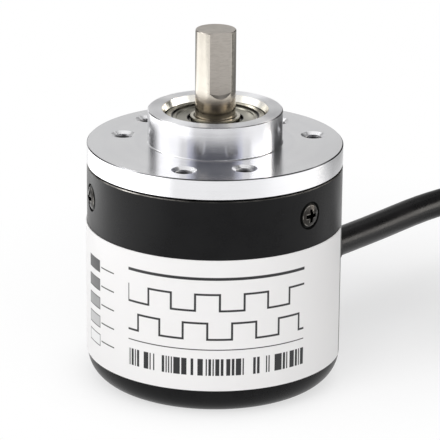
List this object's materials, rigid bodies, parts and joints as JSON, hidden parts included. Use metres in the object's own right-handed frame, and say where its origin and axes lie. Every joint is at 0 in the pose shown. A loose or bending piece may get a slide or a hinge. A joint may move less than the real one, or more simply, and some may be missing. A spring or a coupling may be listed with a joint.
{
  "type": "incremental rotary encoder",
  "caption": "Incremental rotary encoder: black cup housing, turned flange with pilot boss, flatted shaft on shielded ball bearings, code disc and optical reader inside, cable in a coil.",
  "frame": {"origin": "middle of the housing's underside, on the shaft's axis", "axes": "+Z along the shaft towards its free end, -Y towards the front, the cable leaves between +X and +Y"},
  "size_m": [0.1236, 0.0726, 0.0536],
  "materials": {
    "turned_aluminium": "satin",
    "housing_black": "satin",
    "label_film": "satin",
    "black_screw": "gloss",
    "shaft_steel": "satin",
    "bearing_steel": "polished",
    "shield_steel": "satin",
    "ball_steel": "polished",
    "hub_aluminium": "satin",
    "disc_glass": "gloss",
    "brass": "satin",
    "reader_black": "matte",
    "emitter_resin": "gloss",
    "sensor_resin": "gloss",
    "tinned_wire": "satin",
    "board_green": "satin",
    "plain_screw": "satin",
    "chip_black": "matte",
    "can_aluminium": "satin",
    "grommet_rubber": "matte",
    "cable_jacket": "satin",
    "sleeve_black": "matte",
    "tie_nylon": "satin",
    "wire_red": "satin",
    "wire_black": "satin",
    "wire_green": "satin",
    "wire_white": "satin",
    "wire_grey": "satin"
  },
  "bodies": {
    "stator": {"mounting_flange": "turned_aluminium", "housing": "housing_black", "label": "label_film", "housing_screws": "black_screw", "front_bearing_outer_ring": "bearing_steel", "rear_bearing_outer_ring": "bearing_steel", "front_bearing_shields": "shield_steel", "rear_bearing_shields": "shield_steel", "scanning_mask": "disc_glass", "board_posts": "brass", "cable_crimp": "brass", "optical_head": "reader_black", "emitter": "emitter_resin", "detector": "sensor_resin", "emitter_leads": "tinned_wire", "lead_tips": "tinned_wire", "circuit_board": "board_green", "board_screws": "plain_screw", "signal_chip": "chip_black", "chip_resistors": "chip_black", "filter_capacitor": "can_aluminium", "cable_grommet": "grommet_rubber", "cable_lead": "cable_jacket", "cable_coil": "cable_jacket", "cable_tail": "cable_jacket", "lead_sleeve": "sleeve_black", "coil_tie": "tie_nylon", "board_wire_red": "wire_red", "lead_red": "wire_red", "board_wire_black": "wire_black", "lead_black": "wire_black", "board_wire_green": "wire_green", "lead_green": "wire_green", "board_wire_white": "wire_white", "lead_white": "wire_white", "board_wire_grey": "wire_grey", "lead_grey": "wire_grey"},
    "rotor": {"shaft": "shaft_steel", "front_bearing_inner_ring": "bearing_steel", "rear_bearing_inner_ring": "bearing_steel", "disc_hub": "hub_aluminium", "hub_set_screws": "black_screw", "code_disc": "disc_glass", "disc_clamp_ring": "brass"},
    "front_ball_set": {"front_bearing_balls": "ball_steel", "front_bearing_cage": "bearing_steel"},
    "rear_ball_set": {"rear_bearing_balls": "ball_steel", "rear_bearing_cage": "bearing_steel"}
  },
  "joints": [
    {"name": "shaft_spin", "type": "hinge", "parent": "stator", "child": "rotor", "pos_m": [0, 0, 0.0365], "axis": [0, 0, 1], "continuous": true},
    {"name": "front_balls_orbit", "type": "hinge", "parent": "stator", "child": "front_ball_set", "pos_m": [0, 0, 0.0365], "axis": [0, 0, 1], "continuous": true},
    {"name": "rear_balls_orbit", "type": "hinge", "parent": "stator", "child": "rear_ball_set", "pos_m": [0, 0, 0.0365], "axis": [0, 0, 1], "continuous": true}
  ],
  "couplings": [
    {"joint": "front_balls_orbit", "follows": "shaft_spin", "ratio": 0.3857},
    {"joint": "rear_balls_orbit", "follows": "shaft_spin", "ratio": 0.3857}
  ]
}
